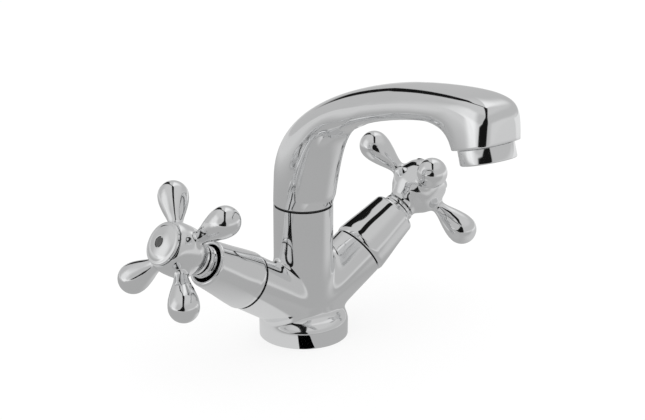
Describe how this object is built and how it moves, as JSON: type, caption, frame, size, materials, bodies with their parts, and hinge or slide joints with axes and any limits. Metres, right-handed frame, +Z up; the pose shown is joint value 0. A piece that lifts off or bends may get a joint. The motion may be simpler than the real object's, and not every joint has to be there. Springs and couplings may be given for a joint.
{
  "type": "bathroom mixer faucet",
  "caption": "Deck-mounted basin mixer: V-shaped chromed body on a round foot, hooked swivel spout with aerator, and quarter-turn cross handles on tilted arms.",
  "frame": {"origin": "centre of the foot's flat underside, on the surface the mixer stands on", "axes": "+Z up along the column, -Y the way the spout points at rest, -X the hot side (the user's left) and +X the cold side"},
  "size_m": [0.2025, 0.1923, 0.1692],
  "materials": {
    "chrome": "polished",
    "brass": "machined",
    "steel": "stainless",
    "rubber": "matt",
    "ceramic": "lapped alumina ceramic",
    "grey_plastic": "moulded acetal",
    "dark_plastic": "moulded acetal",
    "index_mark": "enamelled"
  },
  "bodies": {
    "body": {"mixer_body": "chrome", "base_gasket": "rubber", "spout_slide_ring": "dark_plastic", "spout_lock_screw": "steel", "hot_seat_seal": "rubber", "hot_fixed_disc": "ceramic", "hot_headwork_body": "chrome", "hot_headwork_washer": "rubber", "hot_shroud": "chrome", "cold_seat_seal": "rubber", "cold_fixed_disc": "ceramic", "cold_headwork_body": "chrome", "cold_headwork_washer": "rubber", "cold_shroud": "chrome"},
    "spout": {"spout": "chrome", "spout_spigot": "brass", "spigot_seal_upper": "rubber", "spigot_seal_lower": "rubber", "aerator_housing": "chrome", "aerator_cartridge": "grey_plastic", "aerator_screen": "steel", "aerator_washer": "rubber"},
    "hot_handle": {"hot_moving_disc": "ceramic", "hot_spindle": "brass", "hot_spindle_seal": "rubber", "hot_spindle_clip": "steel", "hot_handle": "chrome", "hot_handle_screw": "steel", "hot_index_cap": "chrome", "hot_index_mark": "index_mark"},
    "cold_handle": {"cold_moving_disc": "ceramic", "cold_spindle": "brass", "cold_spindle_seal": "rubber", "cold_spindle_clip": "steel", "cold_handle": "chrome", "cold_handle_screw": "steel", "cold_index_cap": "chrome", "cold_index_mark": "index_mark"}
  },
  "joints": [
    {"name": "spout_swivel", "type": "hinge", "parent": "body", "child": "spout", "pos_m": [0, 0, 0.074], "axis": [0, 0, 1], "continuous": true},
    {"name": "hot_handle_turn", "type": "hinge", "parent": "body", "child": "hot_handle", "pos_m": [0, 0, 0.0145], "axis": [-0.8387, 0, 0.5446], "range_deg": [0, 90]},
    {"name": "cold_handle_turn", "type": "hinge", "parent": "body", "child": "cold_handle", "pos_m": [0, 0, 0.0145], "axis": [-0.8387, 0, -0.5446], "range_deg": [0, 90]}
  ]
}
